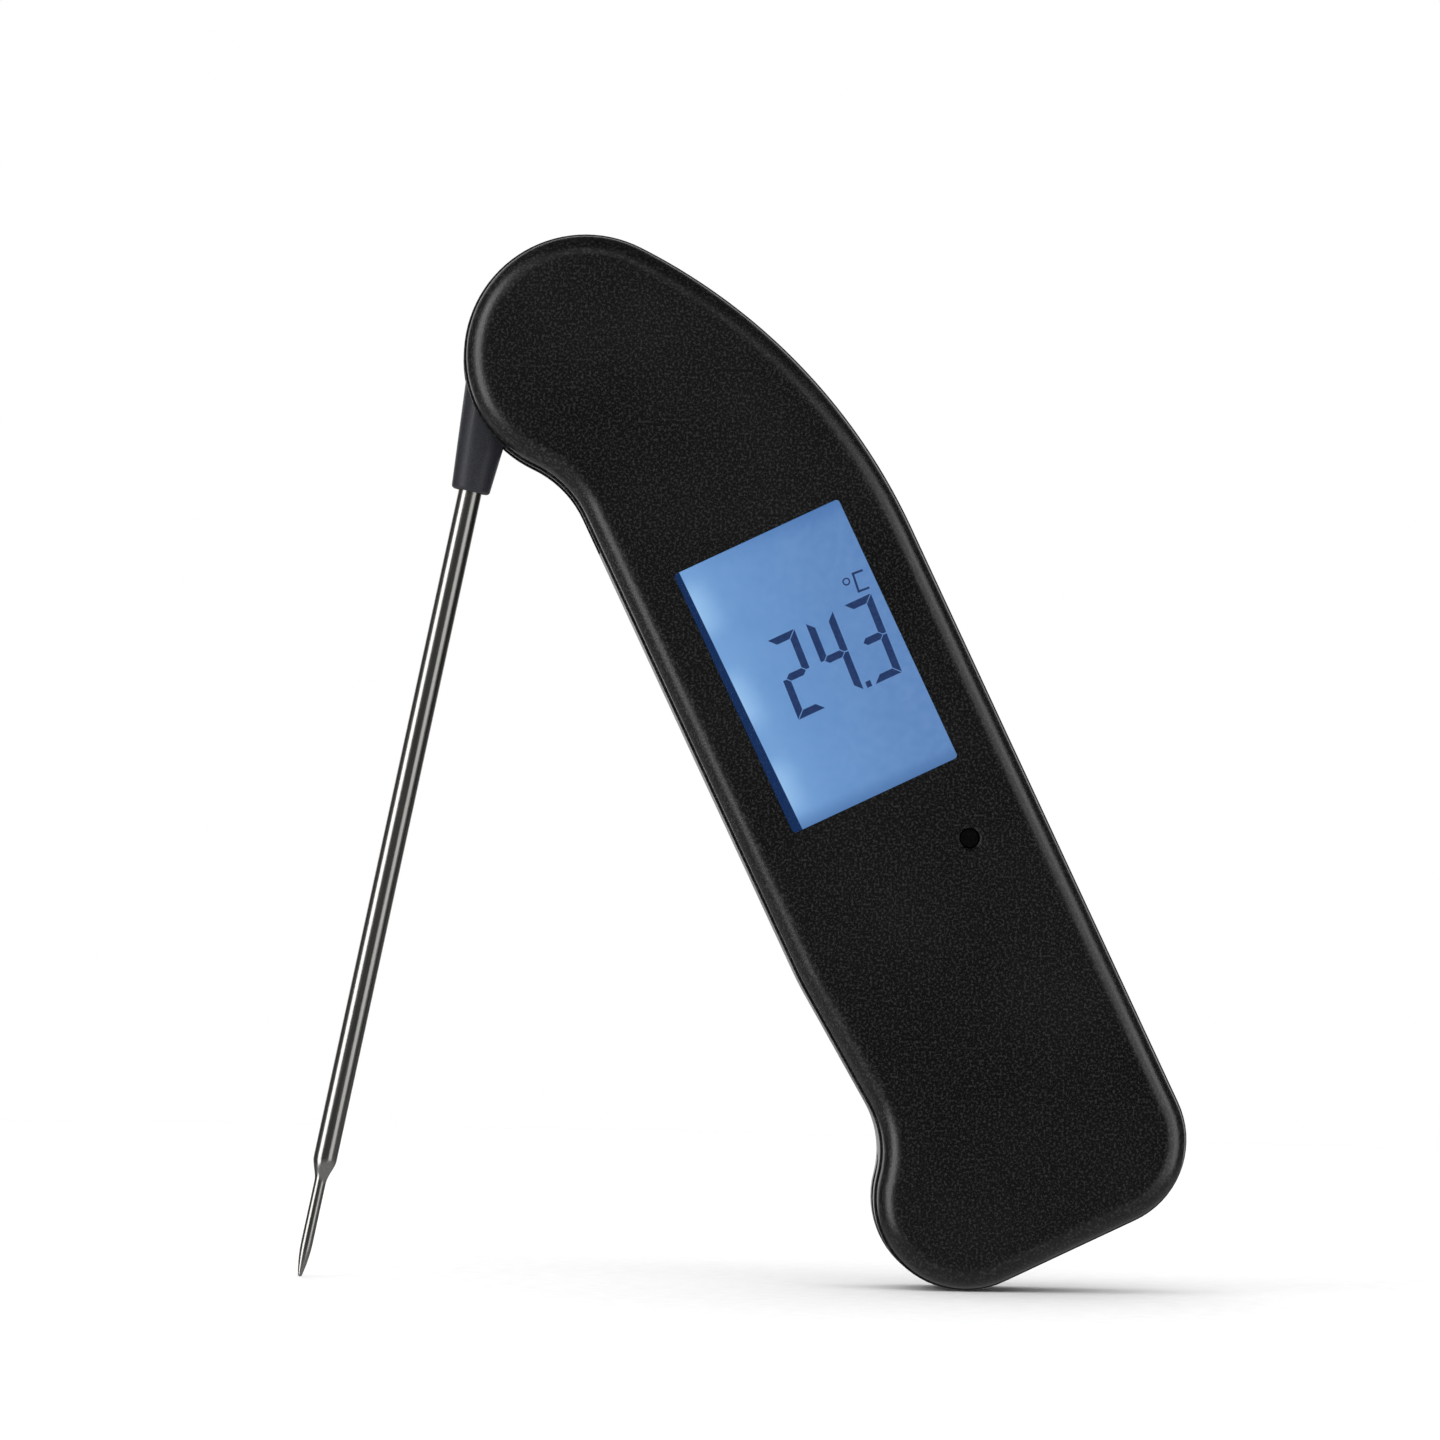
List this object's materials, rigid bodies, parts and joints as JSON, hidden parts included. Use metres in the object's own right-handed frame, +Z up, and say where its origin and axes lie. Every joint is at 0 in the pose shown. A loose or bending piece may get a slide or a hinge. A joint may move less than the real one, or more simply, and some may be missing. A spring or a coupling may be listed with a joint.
{
  "type": "meat thermometer",
  "caption": "Fold-out digital meat thermometer: flat black case with a lit display and a steel probe on a friction pivot, standing on its foot and probe tip.",
  "frame": {"origin": "midway under the thermometer, on the surface its foot and probe tip stand on", "axes": "+Z up; +Y from the display face to the back face; +X from the probe tip to the foot"},
  "size_m": [0.1196, 0.019, 0.1414],
  "materials": {
    "case_plastic": "fine moulded grain, black ABS",
    "hub_plastic": "satin, dark grey",
    "silicone": "matt",
    "clear_plastic": "polished clear acrylic",
    "display_glass": "backlit liquid crystal panel, blue",
    "white_plastic": "satin white",
    "board": "green solder mask",
    "chip": "moulded epoxy",
    "lead_sleeve": "extruded insulation",
    "cell_jacket": "shrunk plastic jacket over a steel can",
    "nickel": "nickel plated",
    "brass": "turned",
    "stainless": "polished stainless tube"
  },
  "bodies": {
    "case": {"front_case": "case_plastic", "back_case": "case_plastic", "case_seal": "silicone", "display_lens": "clear_plastic", "lens_seal": "silicone", "lcd_glass": "display_glass", "light_guide": "clear_plastic", "lcd_frame": "white_plastic", "zebra_strip": "silicone", "backlight_led_1": "white_plastic", "backlight_led_2": "white_plastic", "backlight_led_3": "white_plastic", "main_board": "board", "processor_chip": "chip", "converter_chip": "chip", "hall_sensor": "chip", "light_sensor": "chip", "light_pipe": "clear_plastic", "board_lead": "lead_sleeve", "dip_block": "chip", "battery_cell": "cell_jacket", "battery_plus_contact": "nickel", "battery_minus_spring": "nickel", "case_screw_1": "nickel", "case_screw_2": "nickel", "case_screw_3": "nickel", "case_insert_1": "brass", "case_insert_2": "brass", "case_insert_3": "brass", "cover_insert_1": "brass", "cover_insert_2": "brass", "pivot_screw": "nickel", "pivot_insert": "brass", "hub_seal_front": "silicone", "hub_seal_back": "silicone", "friction_washer": "nickel"},
    "probe": {"probe_hub": "hub_plastic", "probe_stem": "stainless", "stem_collar": "brass", "probe_lead": "lead_sleeve", "hub_magnet": "nickel"},
    "battery_cover": {"battery_cover": "case_plastic", "cover_seal": "silicone", "cover_screw_1": "nickel", "cover_screw_2": "nickel"},
    "lever_1": {"dip_lever_1": "white_plastic"},
    "lever_2": {"dip_lever_2": "white_plastic"},
    "lever_3": {"dip_lever_3": "white_plastic"},
    "lever_4": {"dip_lever_4": "white_plastic"}
  },
  "joints": [
    {"name": "probe_hinge", "type": "hinge", "parent": "case", "child": "probe", "pos_m": [-0.02345, 0, 0.125], "axis": [0, 1, 0], "range_deg": [-37.15, 142.85]},
    {"name": "cover_lift", "type": "slide", "parent": "case", "child": "battery_cover", "axis": [0, 1, 0], "range_m": [0, 0.02]},
    {"name": "setting_1", "type": "slide", "parent": "case", "child": "lever_1", "axis": [0.4397, 0, -0.8981], "range_m": [0, 0.0014]},
    {"name": "setting_2", "type": "slide", "parent": "case", "child": "lever_2", "axis": [0.4397, 0, -0.8981], "range_m": [0, 0.0014]},
    {"name": "setting_3", "type": "slide", "parent": "case", "child": "lever_3", "axis": [0.4397, 0, -0.8981], "range_m": [0, 0.0014]},
    {"name": "setting_4", "type": "slide", "parent": "case", "child": "lever_4", "axis": [0.4397, 0, -0.8981], "range_m": [0, 0.0014]}
  ]
}
